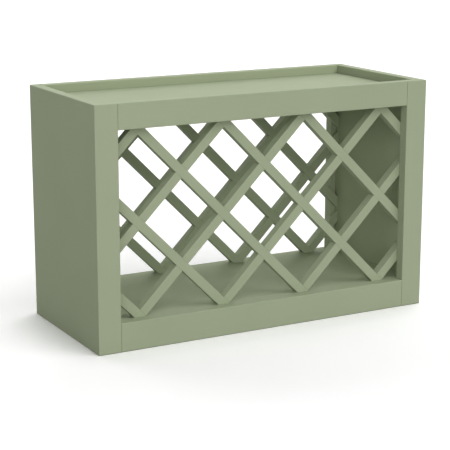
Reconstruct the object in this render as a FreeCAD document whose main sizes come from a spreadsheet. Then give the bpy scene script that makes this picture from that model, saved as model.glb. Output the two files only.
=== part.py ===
import FreeCAD, Part
import os
import Sketcher
from collections import defaultdict
from FreeCAD import Placement, Rotation, Vector

# Wine rack cabinet: a face-framed case with a tray for a top and two diamond lattices.
# Millimetres. X runs to the right as seen from the front, Y from front to back, Z up.
# The origin is the middle of the footprint, on the floor.

SIZES = {
    # case
    "width": 711.2,
    "height": 457.2,
    "depth": 309.0,
    "side_thickness": 20.0,
    "shelf_thickness": 18.0,
    "back_thickness": 20.0,
    "tray_recess": 17.0,
    "dado_depth": 6.0,
    "hanging_rail_drop": 16.0,
    "cleat_width": 14.0,
    "board_ease": 1.5,
    # face frame
    "frame_thickness": 20.0,
    "stile_width": 45.0,
    "top_rail_height": 48.0,
    "bottom_rail_height": 55.0,
    "frame_ease": 1.2,
    # lattice, laid out over the case's width and the opening's height, less these insets
    "lattice_side_inset": 4.6,
    "lattice_end_inset": 1.6,
    "strip_width": 17.5,
    "strip_depth": 18.5,
    "strip_ease": 0.6,
    "back_lattice_stand": 10.0,
    # wooden dowels
    "dowel_diameter": 8.0,
    "dowel_chamfer": 1.0,
    "dowel_face_reach": 12.0,
    "dowel_end_reach": 18.0,
    "frame_dowel_reach": 20.0,
    # countersunk screws and headless brads
    "front_screw_length": 30.0,
    "back_screw_length": 22.0,
    "screw_diameter": 4.0,
    "screw_point": 4.0,
    "screw_head_diameter": 8.0,
    "screw_head_height": 2.4,
    "recess_span": 4.6,
    "recess_width": 1.2,
    "recess_depth": 1.5,
    "brad_length": 15.0,
    "brad_diameter": 1.6,
    # room around every fixing, and how far a cut runs past the face it opens
    "fixing_gap": 0.1,
    "cut_overrun": 2.0,
}

CELLS_ACROSS = 4
CELLS_HIGH = 2
SAME_PLACE = 1e-4
RAIL_DOWEL_SHARES = (0.3, 0.7)
STILE_DOWEL_SHARES = (0.15, 0.5, 0.85)
SHELF_DOWEL_SHARES = (-0.375, -0.125, 0.125, 0.375)

# Places that several pieces share, as expressions on the sheet
half_width = "(sizes.width / 2)"
front = "(-sizes.depth / 2)"
back = "(sizes.depth / 2)"
frame_back = f"({front} + sizes.frame_thickness)"
frame_middle = f"({front} + sizes.frame_thickness / 2)"
rail_front = f"({back} - sizes.back_thickness)"
rail_middle = f"({back} - sizes.back_thickness / 2)"
case_depth = "(sizes.depth - sizes.frame_thickness)"
bay_depth = f"({case_depth} - sizes.back_thickness)"
bay_half = f"({half_width} - sizes.side_thickness)"
bay_width = f"(2 * {bay_half})"
opening_half = f"({half_width} - sizes.stile_width)"
shelf_half = f"({bay_half} + sizes.dado_depth - sizes.fixing_gap)"
side_middle = f"({half_width} - sizes.side_thickness / 2)"
deck_top = "sizes.bottom_rail_height"
deck_under = f"({deck_top} - sizes.shelf_thickness)"
tray_floor = "(sizes.height - sizes.tray_recess)"
tray_under = f"({tray_floor} - sizes.shelf_thickness)"
opening_top = "(sizes.height - sizes.top_rail_height)"
opening_middle = f"(({deck_top} + {opening_top}) / 2)"
hanging_rail_under = f"({opening_top} - sizes.hanging_rail_drop)"
hanging_rail_height = "(sizes.top_rail_height + sizes.hanging_rail_drop)"

SIDES = {"left": -1, "right": 1}
LATTICES = {"front": frame_back, "back": f"({rail_front} - sizes.back_lattice_stand)"}

doc = FreeCAD.newDocument("wine_rack_cabinet")
sheet = doc.addObject("Spreadsheet::Sheet", "sizes")
for row, (alias, size) in enumerate(SIZES.items(), 1):
    sheet.set(f"A{row}", str(size))
    sheet.setAlias(f"A{row}", alias)
doc.recompute()

pieces = []
groups = defaultdict(list)
cuts = defaultdict(list)


def value(expression):
    return float(sheet.evalExpression(expression))


def place(thing, x, y, z, rotation=Rotation()):
    """Turns an object and binds its position to three expressions."""
    thing.Placement = Placement(Vector(), rotation)
    for axis, expression in zip("xyz", (x, y, z)):
        thing.setExpression(f"Placement.Base.{axis}", expression)


# Building blocks: sketches, boards, bars and turned pieces

def sketch_on(body, role, name):
    sketch = body.newObject("Sketcher::SketchObject", name)
    plane = next(item for item in body.Origin.OriginFeatures if item.Role == role)
    sketch.AttachmentSupport = (plane, [""])
    sketch.MapMode = "FlatFace"
    return sketch


def polygon(sketch, corners):
    """Closes straight lines round the corners, each held to its neighbour."""
    count = len(corners)
    for here, there in zip(corners, corners[1:] + corners[:1]):
        sketch.addGeometry(Part.LineSegment(Vector(*here, 0), Vector(*there, 0)))
    for side in range(count):
        sketch.addConstraint(Sketcher.Constraint("Coincident", side, 2, (side + 1) % count, 1))


def rectangle(sketch, length, breadth, centred):
    """A rectangle with bound sides, round the sketch's origin or with its first corner there."""
    polygon(sketch, [(0, 0), (1, 0), (1, 1), (0, 1)])
    for side, direction in enumerate(("Horizontal", "Vertical", "Horizontal", "Vertical")):
        sketch.addConstraint(Sketcher.Constraint(direction, side))
    if centred:
        sketch.addConstraint(Sketcher.Constraint("Symmetric", 0, 1, 2, 1, -1, 1))
    else:
        sketch.addConstraint(Sketcher.Constraint("Coincident", 0, 1, -1, 1))
    for side, direction, expression in ((0, "DistanceX", length), (1, "DistanceY", breadth)):
        row = sketch.addConstraint(Sketcher.Constraint(direction, side, 1, side, 2, 1))
        sketch.setExpression(f"Constraints[{row}]", expression)


def edge_names(shape, pairs):
    """Names of a block's edges, each given by the two sides that meet there."""
    box = shape.BoundBox
    limits = {
        "left": (0, box.XMin), "right": (0, box.XMax),
        "front": (1, box.YMin), "back": (1, box.YMax),
        "bottom": (2, box.ZMin), "top": (2, box.ZMax),
    }

    def lies_on(edge, side):
        axis, limit = limits[side]
        return all(abs(end.Point[axis] - limit) < SAME_PLACE for end in edge.Vertexes)

    return [
        f"Edge{number}" for number, edge in enumerate(shape.Edges, 1)
        if any(all(lies_on(edge, side) for side in pair.split()) for pair in pairs)
    ]


def ease(body, feature, pairs, radius):
    """Rounds the named edges of a block."""
    doc.recompute()
    fillet = body.newObject("PartDesign::Fillet", f"{body.Name}_ease")
    fillet.Base = (feature, edge_names(feature.Shape, pairs))
    fillet.setExpression("Radius", radius)


def padded(body, sketch, length):
    pad = body.newObject("PartDesign::Pad", f"{body.Name}_pad")
    pad.Profile = sketch
    pad.setExpression("Length", length)
    return pad


def board(label, corner, size, eased=(), radius="sizes.board_ease"):
    """A board from its lowest left front corner, less all that is let into it."""
    body = doc.addObject("PartDesign::Body", f"{label}_blank")
    sketch = sketch_on(body, "XY_Plane", f"{label}_plan")
    rectangle(sketch, size[0], size[1], centred=False)
    pad = padded(body, sketch, size[2])
    if eased:
        ease(body, pad, eased, radius)
    place(body, *corner)
    add_piece(label, body)


def add_piece(label, blank):
    """Cuts a blank by the bores and grooves noted for the piece, under the piece's name."""
    piece = doc.addObject("Part::Cut", label)
    piece.Base = blank
    piece.Tool = compound(f"{label}_cuts", cuts[label])
    pieces.append(piece)


def compound(name, members):
    group = doc.addObject("Part::Compound", name)
    group.Links = members
    return group


def bar(name, depth, eased):
    """A long straight bar of the strips' width, along X and centred on the origin."""
    body = doc.addObject("PartDesign::Body", name)
    sketch = sketch_on(body, "YZ_Plane", f"{name}_section")
    rectangle(sketch, depth, "sizes.strip_width", centred=True)
    pad = padded(body, sketch, "sizes.width + sizes.height")
    pad.Midplane = True
    if eased:
        ease(body, pad, ("front top", "front bottom", "back top", "back bottom"), "sizes.strip_ease")
    return body


def turned(name, outline):
    """A round piece on the Z axis, from an outline of (radius, height) expressions."""
    body = doc.addObject("PartDesign::Body", name)
    sketch = sketch_on(body, "XZ_Plane", f"{name}_outline")
    polygon(sketch, [(value(radius), value(height)) for radius, height in outline])
    for corner, (radius, height) in enumerate(outline):
        for expression, direction, axis in ((radius, "DistanceX", -2), (height, "DistanceY", -1)):
            if expression == "0":
                sketch.addConstraint(Sketcher.Constraint("PointOnObject", corner, 1, axis))
            else:
                distance = Sketcher.Constraint(direction, -1, 1, corner, 1, value(expression))
                row = sketch.addConstraint(distance)
                sketch.setExpression(f"Constraints[{row}]", expression)
    revolution = body.newObject("PartDesign::Revolution", f"{name}_turning")
    revolution.Profile = sketch
    revolution.ReferenceAxis = (sketch, ["V_Axis"])
    return body


def rod(name, radius, length):
    return turned(name, [("0", "0"), (radius, "0"), (radius, length), ("0", length)])


def copy_of(body, name, x, y, z, rotation=Rotation()):
    link = doc.addObject("App::Link", name)
    link.LinkedObject = body
    place(link, x, y, z, rotation)
    return link


# Fixings: each is made once, and copied to its places along with the bore that it sits in

ALONG = {
    "x": Rotation(Vector(0, 1, 0), 90),
    "y": Rotation(Vector(1, 0, 0), -90),
    "z": Rotation(),
}
DOWEL_LENGTHS = {
    "case": "(sizes.dowel_face_reach + sizes.dowel_end_reach)",
    "frame": "(2 * sizes.frame_dowel_reach)",
}
SCREW_LENGTHS = {"front": "sizes.front_screw_length", "back": "sizes.back_screw_length"}


def dowel_outline(length):
    radius = "sizes.dowel_diameter / 2"
    neck = f"{radius} - sizes.dowel_chamfer"
    top = f"{length} - sizes.dowel_chamfer"
    lower_end = [("0", "0"), (neck, "0"), (radius, "sizes.dowel_chamfer")]
    upper_end = [(radius, top), (neck, length), ("0", length)]
    return lower_end + upper_end


def screw_outline(length, gap, overrun):
    """From the point up to the head, widened by a gap and run on past the head for a bore."""
    shank = f"sizes.screw_diameter / 2 + {gap}"
    head = f"sizes.screw_head_diameter / 2 + {gap}"
    neck = f"{length} - sizes.screw_head_height"
    outline = [("0", "0"), (shank, "sizes.screw_point"), (shank, neck), (head, length)]
    if overrun:
        outline.append((head, f"{length} + {overrun}"))
    return outline + [("0", outline[-1][1])]


dowels = {kind: turned(f"{kind}_dowel", dowel_outline(length)) for kind, length in DOWEL_LENGTHS.items()}
dowel_bores = {
    kind: rod(f"{kind}_dowel_bore", "sizes.dowel_diameter / 2 + sizes.fixing_gap",
              f"{length} + 2 * sizes.fixing_gap")
    for kind, length in DOWEL_LENGTHS.items()
}
screws = {
    lattice: turned(f"{lattice}_screw", screw_outline(length, "0", None))
    for lattice, length in SCREW_LENGTHS.items()
}
screw_bores = {
    lattice: turned(f"{lattice}_screw_bore", screw_outline(length, "sizes.fixing_gap", "sizes.cut_overrun"))
    for lattice, length in SCREW_LENGTHS.items()
}
brad = rod("brad", "sizes.brad_diameter / 2", "sizes.brad_length")
brad_bore = rod("brad_bore", "sizes.brad_diameter / 2 + sizes.fixing_gap",
                "sizes.brad_length + sizes.fixing_gap + sizes.cut_overrun")

# The cross recess in each screw's head
for lattice, screw in screws.items():
    for way, length, breadth in (
        ("level", "sizes.recess_span", "sizes.recess_width"),
        ("upright", "sizes.recess_width", "sizes.recess_span"),
    ):
        slot_plan = sketch_on(screw, "XY_Plane", f"{lattice}_{way}_slot")
        rectangle(slot_plan, length, breadth, centred=True)
        slot_plan.setExpression("AttachmentOffset.Base.z", SCREW_LENGTHS[lattice])
        slot = screw.newObject("PartDesign::Pocket", f"{lattice}_{way}_slot_pocket")
        slot.Profile = slot_plan
        slot.Reversed = False
        slot.setExpression("Length", "sizes.recess_depth")


def add_dowel(group, kind, axis, joint, low_reach, joins):
    """A dowel across a joint, with its bore in both pieces."""
    number = len(groups[group]) + 1
    start = dict(zip("xyz", joint))
    start[axis] = f"{joint['xyz'.index(axis)]} - {low_reach}"
    groups[group].append(copy_of(dowels[kind], f"{group}_{number}", *start.values(), ALONG[axis]))
    start[axis] = f"{start[axis]} - sizes.fixing_gap"
    bore = copy_of(dowel_bores[kind], f"{group}_{number}_bore", *start.values(), ALONG[axis])
    for piece in joins:
        cuts[piece].append(bore)


def add_screw(lattice, x, rear, z, joins):
    """A screw driven forwards from a rear face, with its head flush there."""
    group = f"{lattice}_lattice_screws"
    number = len(groups[group]) + 1
    tip = f"{rear} - {SCREW_LENGTHS[lattice]}"
    groups[group].append(copy_of(screws[lattice], f"{group}_{number}", x, tip, z, ALONG["y"]))
    bore = copy_of(screw_bores[lattice], f"{group}_{number}_bore", x, tip, z, ALONG["y"])
    for piece in joins:
        cuts[piece].append(bore)


def add_brad(lattice, x, rear, z, joins):
    """A headless brad driven forwards from a rear face."""
    group = f"{lattice}_lattice_brads"
    number = len(groups[group]) + 1
    tip = f"{rear} - sizes.brad_length"
    groups[group].append(copy_of(brad, f"{group}_{number}", x, tip, z, ALONG["y"]))
    bore = copy_of(brad_bore, f"{group}_{number}_bore", x, f"{tip} - sizes.fixing_gap", z, ALONG["y"])
    for piece in joins:
        cuts[piece].append(bore)


# Dowels of the face frame and the case

FRAME_RAILS = {
    "bottom_frame_rail": ("0", "sizes.bottom_rail_height"),
    "top_frame_rail": (opening_top, "sizes.top_rail_height"),
}
BACK_RAILS = {
    "lower_back_rail": ("0", deck_under),
    "hanging_rail": (hanging_rail_under, hanging_rail_height),
}

for side, sign in SIDES.items():
    for rail, (foot, rail_height) in FRAME_RAILS.items():
        for share in RAIL_DOWEL_SHARES:
            joint = (f"{sign} * {opening_half}", frame_middle, f"{foot} + {share} * {rail_height}")
            joins = (f"{side}_stile", rail)
            add_dowel("face_frame_dowels", "frame", "x", joint, "sizes.frame_dowel_reach", joins)
    for rail, (foot, rail_height) in BACK_RAILS.items():
        low_reach = "sizes.dowel_face_reach" if side == "left" else "sizes.dowel_end_reach"
        for share in RAIL_DOWEL_SHARES:
            joint = (f"{sign} * {bay_half}", rail_middle, f"{foot} + {share} * {rail_height}")
            joins = (f"{side}_side_panel", rail)
            add_dowel("back_rail_dowels", "case", "x", joint, low_reach, joins)
    for share in STILE_DOWEL_SHARES:
        joint = (f"{sign} * {side_middle}", frame_back, f"{share} * sizes.height")
        joins = (f"{side}_stile", f"{side}_side_panel")
        add_dowel("stile_dowels", "case", "y", joint, "sizes.dowel_face_reach", joins)

tray_middle = f"({tray_under} + sizes.shelf_thickness / 2)"
deck_middle = f"({deck_under} + sizes.shelf_thickness / 2)"
for share in SHELF_DOWEL_SHARES:
    across = f"{share} * {bay_width}"
    add_dowel("top_panel_dowels", "case", "y", (across, frame_back, tray_middle),
              "sizes.dowel_face_reach", ("top_frame_rail", "top_panel"))
    add_dowel("top_panel_dowels", "case", "y", (across, rail_front, tray_middle),
              "sizes.dowel_end_reach", ("top_panel", "hanging_rail"))
    add_dowel("deck_dowels", "case", "y", (across, frame_back, deck_middle),
              "sizes.dowel_face_reach", ("bottom_frame_rail", "lower_deck"))
    add_dowel("deck_dowels", "case", "z", (across, rail_middle, deck_under),
              "sizes.dowel_end_reach", ("lower_back_rail", "lower_deck"))

# Grooves in the side panels that take the top panel and the deck

for side in SIDES:
    inner = f"-{bay_half} - sizes.dado_depth" if side == "left" else f"{bay_half} - sizes.cut_overrun"
    for shelf, foot, run in (
        ("deck", deck_under, f"{case_depth} + 2 * sizes.cut_overrun"),
        ("tray", tray_under, f"{bay_depth} + sizes.cut_overrun"),
    ):
        groove = doc.addObject("Part::Box", f"{side}_{shelf}_groove")
        groove.setExpression("Length", "sizes.dado_depth + sizes.cut_overrun")
        groove.setExpression("Width", run)
        groove.setExpression("Height", "sizes.shelf_thickness")
        place(groove, inner, f"{frame_back} - sizes.cut_overrun", foot)
        cuts[f"{side}_side_panel"].append(groove)

# Lattice lines. A line is numbered by where it crosses the opening's middle height, in cells from
# the middle of the case, and rises or falls from there by one cell up for each cell across.

pitch_across = f"((sizes.width - 2 * sizes.lattice_side_inset) / {CELLS_ACROSS})"
pitch_up = f"(({opening_top} - {deck_top} - 2 * sizes.lattice_end_inset) / {CELLS_HIGH})"
lattice_angle = f"atan({pitch_up} / {pitch_across})"
outer_line = (CELLS_ACROSS + CELLS_HIGH - 1) / 2
LINES = [number - outer_line for number in range(CELLS_ACROSS + CELLS_HIGH)]
RISE = {"rising": 1, "falling": -1}


def strip_name(lattice, slope, line):
    return f"{lattice}_{slope}_strip_{LINES.index(line) + 1}"


def cell_place(across, up):
    """Position and height of a place in the lattice, counted in cells from its middle."""
    return f"({across} * {pitch_across})", f"({opening_middle} + {up} * {pitch_up})"


def height_at(slope, line, x):
    """Height of a strip's middle line at a place across the bay."""
    return f"({opening_middle} + {RISE[slope]} * ({x} / {pitch_across} - {line}) * {pitch_up})"


def slanted(body, name, slope, line, y):
    """A copy of a bar laid along one of the lattice's lines."""
    x, z = cell_place(line, 0)
    link = copy_of(body, name, x, y, z, Rotation(Vector(0, -RISE[slope], 0), value(lattice_angle)))
    link.setExpression("Placement.Rotation.Angle", lattice_angle)
    return link


# Screws at the strips' ends, from behind: front strips into the stiles, back strips through the cleats.
# The lines of the last two cells on a side are the ones that end there.

END_FIXINGS = {
    "front": (f"({opening_half} + {bay_half}) / 2", f"{frame_back} + sizes.strip_depth", "stile"),
    "back": (f"({bay_half} - sizes.cleat_width / 2)", back, "rear_cleat"),
}

for lattice, (reach, rear, holder) in END_FIXINGS.items():
    for side, sign in SIDES.items():
        x = f"{sign} * {reach}"
        for slope in RISE:
            for line in LINES:
                if line * sign > outer_line - CELLS_HIGH:
                    joins = (strip_name(lattice, slope, line), f"{side}_{holder}")
                    add_screw(lattice, x, rear, height_at(slope, line, x), joins)

# Crossings: brads where the strips cross in the open, and screws through the hanging rail behind the top ones

for lattice, lattice_front in LATTICES.items():
    for rising in LINES:
        for falling in LINES:
            across, up = (falling + rising) / 2, (falling - rising) / 2
            x, level = cell_place(across, up)
            joins = (strip_name(lattice, "rising", rising), strip_name(lattice, "falling", falling))
            if abs(across) >= CELLS_ACROSS / 2:
                continue
            if abs(up) < CELLS_HIGH / 2:
                add_brad(lattice, x, f"{lattice_front} + sizes.strip_depth", level, joins)
            elif lattice == "back" and up == CELLS_HIGH / 2:
                add_screw(lattice, x, back, level, joins + ("hanging_rail",))

# Lattice strips: bars cut to the bay, halved into each other at the crossings.
# Falling strips keep their front half there and rising strips their rear half.
# The back lattice is let into the cleats and the hanging rail, and stands a little proud of them.

strip_stock = bar("strip_stock", "sizes.strip_depth", eased=True)
lap_stock = bar("lap_stock", "sizes.strip_depth / 2 + sizes.cut_overrun", eased=False)
LAPS = {"rising": ("falling", -1), "falling": ("rising", 1)}

for lattice, lattice_front in LATTICES.items():
    middle = f"({lattice_front} + sizes.strip_depth / 2)"
    bay = doc.addObject("Part::Box", f"{lattice}_lattice_bay")
    bay.setExpression("Length", bay_width)
    bay.setExpression("Width", "sizes.strip_depth")
    bay.setExpression("Height", f"{tray_under} - {deck_top}")
    place(bay, f"-{bay_half}", lattice_front, deck_top)
    for slope, (other, half) in LAPS.items():
        lap_middle = f"{middle} + {half} * (sizes.strip_depth / 2 + sizes.cut_overrun) / 2"
        laps = [
            slanted(lap_stock, f"{lattice}_{slope}_lap_{number}", other, line, lap_middle)
            for number, line in enumerate(LINES, 1)
        ]
        lap_cutter = compound(f"{lattice}_{slope}_laps", laps)
        for line in LINES:
            name = strip_name(lattice, slope, line)
            length = doc.addObject("Part::Common", f"{name}_length")
            length.Base = slanted(strip_stock, f"{name}_stock", slope, line, middle)
            length.Tool = bay
            if lattice == "back":
                for holder in ("left_rear_cleat", "right_rear_cleat", "hanging_rail"):
                    cuts[holder].append(length)
            halved = doc.addObject("Part::Cut", f"{name}_halved")
            halved.Base = length
            halved.Tool = lap_cutter
            add_piece(name, halved)

# Face frame

FRONT_EDGES = ("front left", "front right", "front top", "front bottom")

for side in SIDES:
    corner = f"-{half_width}" if side == "left" else opening_half
    board(f"{side}_stile", (corner, front, "0"),
          ("sizes.stile_width", "sizes.frame_thickness", "sizes.height"),
          FRONT_EDGES + (f"{side} top",), "sizes.frame_ease")

board("top_frame_rail", (f"-{opening_half}", front, opening_top),
      (f"2 * {opening_half}", "sizes.frame_thickness", "sizes.top_rail_height"),
      FRONT_EDGES + ("back top",), "sizes.frame_ease")
board("bottom_frame_rail", (f"-{opening_half}", front, "0"),
      (f"2 * {opening_half}", "sizes.frame_thickness", "sizes.bottom_rail_height"),
      FRONT_EDGES, "sizes.frame_ease")

# Case

for side in SIDES:
    corner = f"-{half_width}" if side == "left" else bay_half
    board(f"{side}_side_panel", (corner, frame_back, "0"),
          ("sizes.side_thickness", case_depth, "sizes.height"),
          ("left top", "right top", "back top", "left back", "right back"))

board("top_panel", (f"-{shelf_half}", frame_back, tray_under),
      (f"2 * {shelf_half}", bay_depth, "sizes.shelf_thickness"))
board("lower_deck", (f"-{shelf_half}", frame_back, deck_under),
      (f"2 * {shelf_half}", case_depth, "sizes.shelf_thickness"), ("back top",))
board("hanging_rail", (f"-{bay_half}", rail_front, hanging_rail_under),
      (bay_width, "sizes.back_thickness", hanging_rail_height),
      ("front top", "back top", "front bottom", "back bottom"))
board("lower_back_rail", (f"-{bay_half}", rail_front, "0"),
      (bay_width, "sizes.back_thickness", deck_under), ("back bottom",))

for side in SIDES:
    corner = f"-{bay_half}" if side == "left" else f"{bay_half} - sizes.cleat_width"
    bay_side = "right" if side == "left" else "left"
    board(f"{side}_rear_cleat", (corner, rail_front, deck_top),
          ("sizes.cleat_width", "sizes.back_thickness", f"{hanging_rail_under} - {deck_top}"),
          (f"{bay_side} front", f"{bay_side} back"))

# Groups of like fixings

for label, members in groups.items():
    pieces.append(compound(label, members))

doc.recompute()

for thing in doc.Objects:
    if "Invalid" in thing.State or "Error" in thing.State:
        raise RuntimeError(f"{thing.Label} failed: {thing.State}")
    if thing.TypeId == "PartDesign::Pocket" and thing.Shape.Volume >= thing.BaseFeature.Shape.Volume:
        raise RuntimeError(f"{thing.Label} removed nothing")
for piece in pieces:
    if piece.Shape.isNull() or not piece.Shape.isValid():
        raise RuntimeError(f"{piece.Label} has no valid shape")

os.makedirs("parts", exist_ok=True)
for piece in pieces:
    piece.Shape.exportStep(f"parts/{piece.Label}.step")
    print(piece.Label, len(piece.Shape.Solids), round(piece.Shape.Volume))
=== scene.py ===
"""Wine rack cabinet: finishes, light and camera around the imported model, in metres."""
import math

import bpy
from mathutils import Matrix, Vector


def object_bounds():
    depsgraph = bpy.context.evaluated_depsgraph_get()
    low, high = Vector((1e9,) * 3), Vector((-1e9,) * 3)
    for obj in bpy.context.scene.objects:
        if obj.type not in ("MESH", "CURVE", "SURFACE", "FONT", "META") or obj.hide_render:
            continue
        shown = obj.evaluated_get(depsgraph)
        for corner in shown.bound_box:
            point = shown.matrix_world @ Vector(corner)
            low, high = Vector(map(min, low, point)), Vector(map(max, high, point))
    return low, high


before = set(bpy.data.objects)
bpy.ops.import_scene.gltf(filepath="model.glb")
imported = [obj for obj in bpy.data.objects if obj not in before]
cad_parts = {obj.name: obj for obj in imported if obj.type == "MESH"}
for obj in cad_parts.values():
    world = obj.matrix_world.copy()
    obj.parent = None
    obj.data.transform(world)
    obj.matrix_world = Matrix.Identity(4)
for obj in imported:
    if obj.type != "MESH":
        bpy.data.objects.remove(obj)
cad_low, cad_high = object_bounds()

# Camera, as worked out from the corners of the case in the photograph
SENSOR = 0.036
FOCAL = 0.114
MILLIMETRES = 1000
CAMERA_X = -1.335
CAMERA_AHEAD = 2.262
CAMERA_HEIGHT = 0.820
CAMERA_YAW = math.radians(28.70)
CAMERA_PITCH = math.radians(-13.21)

# Lamps: the way to each, its spread in degrees, and the level it gives a face turned to it
LAMPS = {
    "key": ((0.10, 0.06, 1.00), 12, 0.15),
    "front": ((0.36, -0.53, 0.77), 50, 0.435),
    "low_front": ((0.00, -0.98, 0.20), 60, 0.23),
    "low_left": ((-0.60, -0.78, 0.20), 60, 0.50),
    "right": ((0.68, 0.60, 0.42), 60, 0.45),
    "back": ((-0.10, 0.89, 0.44), 60, 0.42),
}

# Floor: the white that is seen, the share of light that bounces, and the painted shadow line where the case
# stands
FLOOR_REACH = 40.0
FLOOR_WHITE = 1.17
FLOOR_BOUNCE = 0.49
FLOOR_PAINTED_SHADOW = 0.45
PAINTED_SHADOW_REACH = 0.010
PAINTED_SHADOW_OPENNESS = (0.2, 0.7)

# Painted shade in seam lines and recessed corners: how far other faces count, the tone of that painted shade
# where they shut a face in, and the openness at which that painted shade is full and at which it ends
SEAM_REACH = 0.003
SEAM_PAINTED_SHADE = 0.35
SEAM_OPENNESS = (0.2, 0.7)
RECESS_REACH = 0.018
RECESS_PAINTED_SHADE = 0.55
RECESS_OPENNESS = (0.05, 0.45)
OPENNESS_SAMPLES = 8

# Textures: scale, detail and roughness of each
CLOUDS = (6, 3, 0.5)
GRAIN = (22, 4, 0.6)
STIPPLE = (900, 2, 0.5)
SCRATCHES = (1400, 3, 0.7)
FLECKS = (420, 3, 0.65)

# Sage paint: its tones, the span of the clouds between them, and the sheen and relief of the grain under it
PAINT = (0.363, 0.410, 0.276)
PAINT_SHADE = (0.346, 0.393, 0.262)
CLOUD_SPAN = (0.3, 0.7)
PAINT_SPECULAR = 0.02
PAINT_ROUGHNESS = (0.56, 0.66)
GRAIN_SPAN = (0.3, 0.7)
GRAIN_STRETCH = (1, 16, 16)
GRAIN_STRENGTH = 0.10
GRAIN_RELIEF = 0.0004
STIPPLE_STRENGTH = 0.12
STIPPLE_RELIEF = 0.00015

# Bright zinc and bare beech
ZINC = (0.62, 0.62, 0.60)
ZINC_SCRATCHED = tuple(channel * 0.86 for channel in ZINC)
ZINC_ROUGHNESS = (0.28, 0.46)
BEECH = (0.62, 0.45, 0.27)
BEECH_DARK = (0.47, 0.31, 0.17)
FLECK_SPAN = (0.42, 0.62)
BEECH_ROUGHNESS = 0.7


def node(tree, kind, inputs=None, **settings):
    """A node with its settings, and its inputs given as values or as other nodes' outputs."""
    made = tree.nodes.new(kind)
    for name, setting in settings.items():
        setattr(made, name, setting)
    for name, source in (inputs or {}).items():
        if isinstance(source, bpy.types.NodeSocket):
            tree.links.new(source, made.inputs[name])
        else:
            made.inputs[name].default_value = source
    return made


def opaque(colour):
    return (*colour, 1)


def grey(level):
    return opaque((level, level, level))


def texture(tree, place, scale, detail, roughness):
    """Soft noise, from 0 to 1."""
    noise = node(tree, "ShaderNodeTexNoise", {
        "Vector": place, "Scale": scale, "Detail": detail, "Roughness": roughness})
    return noise.outputs["Fac"]


def ramp(tree, source, span):
    """Black up to the start of the span, white from its end."""
    made = node(tree, "ShaderNodeValToRGB", {"Fac": source})
    for element, place in zip(made.color_ramp.elements, span):
        element.position = place
    return made.outputs["Color"]


def between(tree, share, first, second):
    """A colour from the first to the second, by the share."""
    mix = node(tree, "ShaderNodeMix", {
        "Factor": share, "A": opaque(first), "B": opaque(second)}, data_type="RGBA")
    return mix.outputs["Result"]


def levels(tree, source, span, result):
    """The source's span, carried over to another span of levels."""
    made = node(tree, "ShaderNodeMapRange", {
        "Value": source, "From Min": span[0], "From Max": span[1], "To Min": result[0], "To Max": result[1]})
    return made.outputs["Result"]


def combine(tree, operation, first, second):
    """Two levels made into one."""
    return node(tree, "ShaderNodeMath", {0: first, 1: second}, operation=operation).outputs["Value"]


def painted_occlusion_shade(tree, reach, openness, tone):
    """Painted shade: 1 on open faces, down to the given tone where other faces shut them in within reach."""
    depth = node(tree, "ShaderNodeAmbientOcclusion", {"Distance": reach}, samples=OPENNESS_SAMPLES)
    return levels(tree, depth.outputs["AO"], openness, (tone, 1.0))


def bare_material(name):
    """A material with no nodes yet."""
    material = bpy.data.materials.new(name)
    material.use_nodes = True
    material.node_tree.nodes.clear()
    return material, material.node_tree


def finish(tree, sockets):
    """A Principled shader with these sockets, shown by the material."""
    shader = node(tree, "ShaderNodeBsdfPrincipled", sockets)
    node(tree, "ShaderNodeOutputMaterial", {"Surface": shader.outputs["BSDF"]})


def sage_paint(name, lean):
    """Satin paint over sanded wood whose grain runs along X once it is turned by lean about Y, darkened with
    painted shade where other faces shut it in.
    """
    material, tree = bare_material(name)
    place = node(tree, "ShaderNodeTexCoord").outputs["Object"]
    turned = node(tree, "ShaderNodeMapping", {"Vector": place, "Rotation": (0, lean, 0)})
    along_grain = node(tree, "ShaderNodeMapping", {
        "Vector": turned.outputs["Vector"], "Scale": GRAIN_STRETCH})
    clouds = texture(tree, place, *CLOUDS)
    grain = texture(tree, along_grain.outputs["Vector"], *GRAIN)
    stipple = texture(tree, place, *STIPPLE)

    tone = between(tree, ramp(tree, clouds, CLOUD_SPAN), PAINT_SHADE, PAINT)
    # Painted shade: the paint's colour is darkened where other faces shut it in, along seam lines and in
    # recessed corners.
    seam_painted_shade = painted_occlusion_shade(tree, SEAM_REACH, SEAM_OPENNESS, SEAM_PAINTED_SHADE)
    recess_painted_shade = painted_occlusion_shade(tree, RECESS_REACH, RECESS_OPENNESS, RECESS_PAINTED_SHADE)
    colour_with_painted_shade = node(tree, "ShaderNodeMix", {
        "Factor": 1.0, "A": tone, "B": combine(tree, "MULTIPLY", seam_painted_shade, recess_painted_shade),
    }, data_type="RGBA", blend_type="MULTIPLY")

    grain_bump = node(tree, "ShaderNodeBump", {
        "Height": grain, "Strength": GRAIN_STRENGTH, "Distance": GRAIN_RELIEF})
    paint_bump = node(tree, "ShaderNodeBump", {
        "Height": stipple, "Strength": STIPPLE_STRENGTH, "Distance": STIPPLE_RELIEF,
        "Normal": grain_bump.outputs["Normal"]})
    finish(tree, {
        "Base Color": colour_with_painted_shade.outputs["Result"],
        "Roughness": levels(tree, grain, GRAIN_SPAN, PAINT_ROUGHNESS),
        "Specular IOR Level": PAINT_SPECULAR,
        "Normal": paint_bump.outputs["Normal"],
    })
    return material


def zinc_steel():
    """Bright zinc plate with fine scratches."""
    material, tree = bare_material("zinc_steel")
    place = node(tree, "ShaderNodeTexCoord").outputs["Object"]
    scratches = texture(tree, place, *SCRATCHES)
    finish(tree, {
        "Base Color": between(tree, scratches, ZINC_SCRATCHED, ZINC),
        "Metallic": 1,
        "Roughness": levels(tree, scratches, (0, 1), ZINC_ROUGHNESS),
    })
    return material


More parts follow.
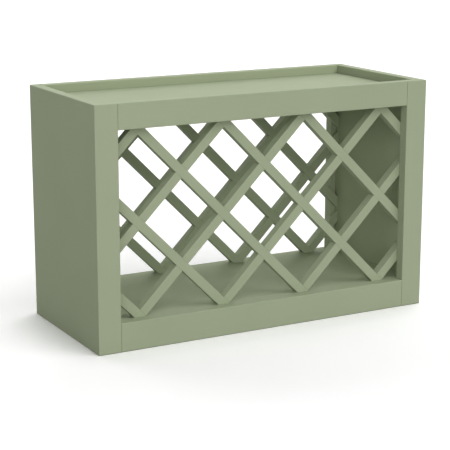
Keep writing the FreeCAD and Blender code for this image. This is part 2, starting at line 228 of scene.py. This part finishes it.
def beech():
    """Bare beech with its short dark flecks."""
    material, tree = bare_material("dowel_beech")
    place = node(tree, "ShaderNodeTexCoord").outputs["Object"]
    flecks = ramp(tree, texture(tree, place, *FLECKS), FLECK_SPAN)
    finish(tree, {"Base Color": between(tree, flecks, BEECH_DARK, BEECH), "Roughness": BEECH_ROUGHNESS})
    return material


def dress(names, material):
    """Gives CAD nodes their finish."""
    for name in names:
        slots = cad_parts[name].data.materials
        slots.clear()
        slots.append(material)


LEVEL_BOARDS = (
    "top_panel", "lower_deck", "hanging_rail", "lower_back_rail", "top_frame_rail", "bottom_frame_rail",
)
UPRIGHT_BOARDS = tuple(
    f"{side}_{piece}" for side in ("left", "right") for piece in ("side_panel", "rear_cleat", "stile")
)
GRAIN_LEANS = {"level": 0, "upright": 90, "rising": 45, "falling": -45}
paints = {run: sage_paint(f"sage_paint_{run}", math.radians(lean)) for run, lean in GRAIN_LEANS.items()}

dress(LEVEL_BOARDS, paints["level"])
dress(UPRIGHT_BOARDS, paints["upright"])
for slope in ("rising", "falling"):
    dress([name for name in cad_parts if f"_{slope}_strip_" in name], paints[slope])
dress([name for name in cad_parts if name.endswith("_dowels")], beech())
dress([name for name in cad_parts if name.endswith(("_screws", "_brads"))], zinc_steel())


def seen_directly(tree):
    """1 for what the camera sees, straight, mirrored or through glass, and 0 for light that bounces."""
    path = node(tree, "ShaderNodeLightPath").outputs
    straight = combine(tree, "MAXIMUM", path["Is Camera Ray"], path["Is Glossy Ray"])
    return combine(tree, "MAXIMUM", straight, path["Is Transmission Ray"])


def make_floor():
    """A wide white floor that keeps the shadow, with a painted shadow where the case stands on it, and
    bounces less light than it shows.
    """
    mesh = bpy.data.meshes.new("floor")
    reach = FLOOR_REACH / 2
    corners = [(-reach, -reach, 0), (reach, -reach, 0), (reach, reach, 0), (-reach, reach, 0)]
    mesh.from_pydata(corners, [], [(0, 1, 2, 3)])
    floor = bpy.data.objects.new("floor", mesh)
    bpy.context.scene.collection.objects.link(floor)

    material, tree = bare_material("floor_white")
    # Painted shadow: the floor's white darkens where the case shuts it in.
    painted_floor_shadow = painted_occlusion_shade(tree, PAINTED_SHADOW_REACH, PAINTED_SHADOW_OPENNESS, 0.0)
    white = between(tree, painted_floor_shadow, (FLOOR_PAINTED_SHADOW,) * 3, (FLOOR_WHITE,) * 3)
    shown = node(tree, "ShaderNodeBsdfDiffuse", {"Color": white})
    bounced = node(tree, "ShaderNodeBsdfDiffuse", {"Color": grey(FLOOR_BOUNCE)})
    mix = node(tree, "ShaderNodeMixShader", {
        "Fac": seen_directly(tree), 1: bounced.outputs["BSDF"], 2: shown.outputs["BSDF"]})
    node(tree, "ShaderNodeOutputMaterial", {"Surface": mix.outputs["Shader"]})
    mesh.materials.append(material)


def make_sky():
    """A sky that is seen white and gives no light of its own."""
    world = bpy.data.worlds.new("sky")
    bpy.context.scene.world = world
    world.use_nodes = True
    tree = world.node_tree
    tree.nodes.clear()
    background = node(tree, "ShaderNodeBackground", {"Color": grey(1), "Strength": seen_directly(tree)})
    node(tree, "ShaderNodeOutputWorld", {"Surface": background.outputs["Background"]})


def make_lamps():
    """A key overhead, and wide, soft lamps round the sides."""
    for name, (towards, spread, level) in LAMPS.items():
        lamp = bpy.data.lights.new(name, "SUN")
        lamp.energy = level * math.pi
        lamp.angle = math.radians(spread)
        stand = bpy.data.objects.new(name, lamp)
        bpy.context.scene.collection.objects.link(stand)
        stand.rotation_euler = Vector(towards).to_track_quat("Z", "Y").to_euler()


def make_camera():
    """A long lens to the left of the case, looking down on it."""
    lens = bpy.data.cameras.new("camera")
    lens.sensor_width = SENSOR * MILLIMETRES
    lens.lens = FOCAL * MILLIMETRES
    camera = bpy.data.objects.new("camera", lens)
    bpy.context.scene.collection.objects.link(camera)
    forward = Vector((
        math.sin(CAMERA_YAW) * math.cos(CAMERA_PITCH),
        math.cos(CAMERA_YAW) * math.cos(CAMERA_PITCH),
        math.sin(CAMERA_PITCH),
    ))
    turn = forward.to_track_quat("-Z", "Y").to_matrix().to_4x4()
    camera.matrix_world = Matrix.Translation((CAMERA_X, cad_low.y - CAMERA_AHEAD, CAMERA_HEIGHT)) @ turn
    bpy.context.scene.camera = camera


make_floor()
make_sky()
make_lamps()
make_camera()
bpy.context.scene.view_settings.view_transform = "Standard"
